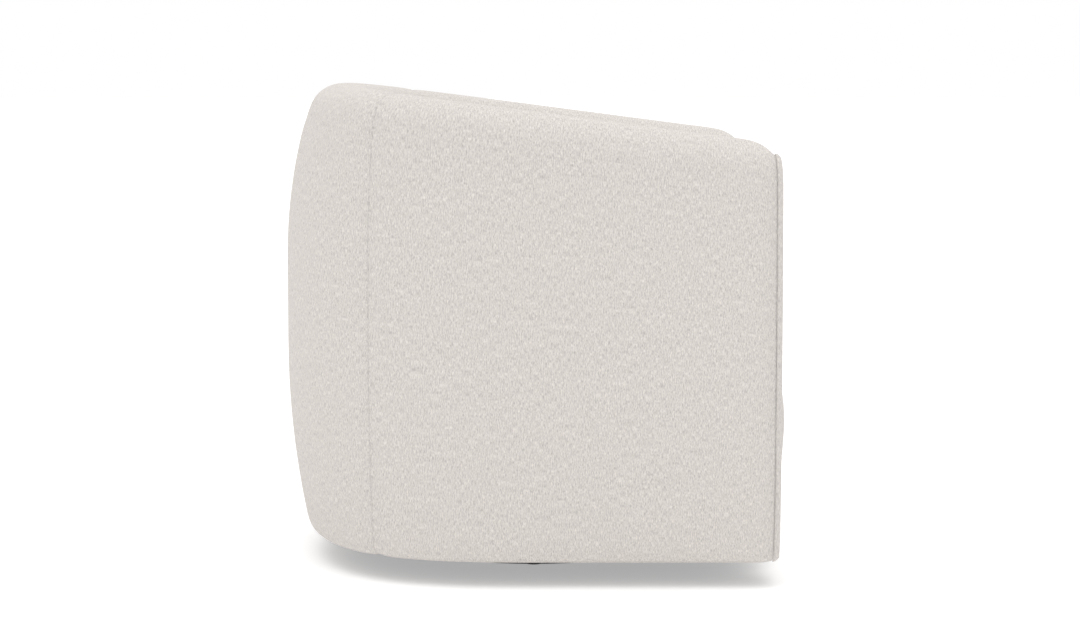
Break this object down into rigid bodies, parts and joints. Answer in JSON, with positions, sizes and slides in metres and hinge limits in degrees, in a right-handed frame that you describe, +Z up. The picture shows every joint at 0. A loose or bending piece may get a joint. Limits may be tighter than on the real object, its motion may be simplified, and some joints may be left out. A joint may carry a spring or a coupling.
{
  "type": "upholstered swivel chair",
  "caption": "Low tub chair in cream woven cloth: padded arms and back in one sloping sweep, tight sprung seat, turning on a hidden round black base.",
  "frame": {"origin": "on the floor under the swivel axis, at the centre of the chair's plan", "axes": "+Z up, -Y to the front of the seat, +X to the sitter's left"},
  "size_m": [0.8404, 0.81, 0.762],
  "materials": {
    "upholstery_fabric": "woven slub cloth, matt",
    "foam": "cut foam",
    "black_base": "satin black paint",
    "steel": "zinc plated",
    "plywood": "sanded plywood",
    "hardboard": "smooth hardboard",
    "nylon": "moulded",
    "felt": "pressed felt",
    "webbing": "woven elastic strap",
    "black_cloth": "thin spun cloth"
  },
  "bodies": {
    "base": {"base_disc": "black_base", "floor_glides": "nylon", "lower_swivel_plate": "steel", "lower_plate_screws": "steel", "pivot_pin": "steel", "pivot_nut": "steel"},
    "cage": {"ball_cage": "nylon", "bearing_balls": "steel"},
    "chair": {"right_arm_cover": "upholstery_fabric", "left_arm_cover": "upholstery_fabric", "right_arm_facing": "upholstery_fabric", "left_arm_facing": "upholstery_fabric", "back_cover": "upholstery_fabric", "seat_cover": "upholstery_fabric", "right_arm_foam": "foam", "left_arm_foam": "foam", "back_foam": "foam", "seat_foam": "foam", "upper_swivel_plate": "steel", "upper_plate_bolts": "steel", "tee_nuts": "steel", "board_screws": "steel", "seat_springs": "steel", "bottom_board": "plywood", "lower_posts": "plywood", "seat_ring": "plywood", "upper_posts": "plywood", "top_rail": "plywood", "front_board": "plywood", "corner_blocks": "plywood", "outer_liner": "hardboard", "right_inner_arm_board": "hardboard", "left_inner_arm_board": "hardboard", "pivot_bush": "nylon", "spring_clips": "nylon", "spring_pad": "felt", "back_webbing": "webbing", "dust_cover": "black_cloth"}
  },
  "joints": [
    {"name": "swivel", "type": "hinge", "parent": "base", "child": "chair", "pos_m": [0, 0, 0.03], "axis": [0, 0, 1], "continuous": true},
    {"name": "cage_turn", "type": "hinge", "parent": "base", "child": "cage", "pos_m": [0, 0, 0.03], "axis": [0, 0, 1], "continuous": true}
  ],
  "couplings": [
    {"joint": "cage_turn", "follows": "swivel", "ratio": 0.5}
  ]
}
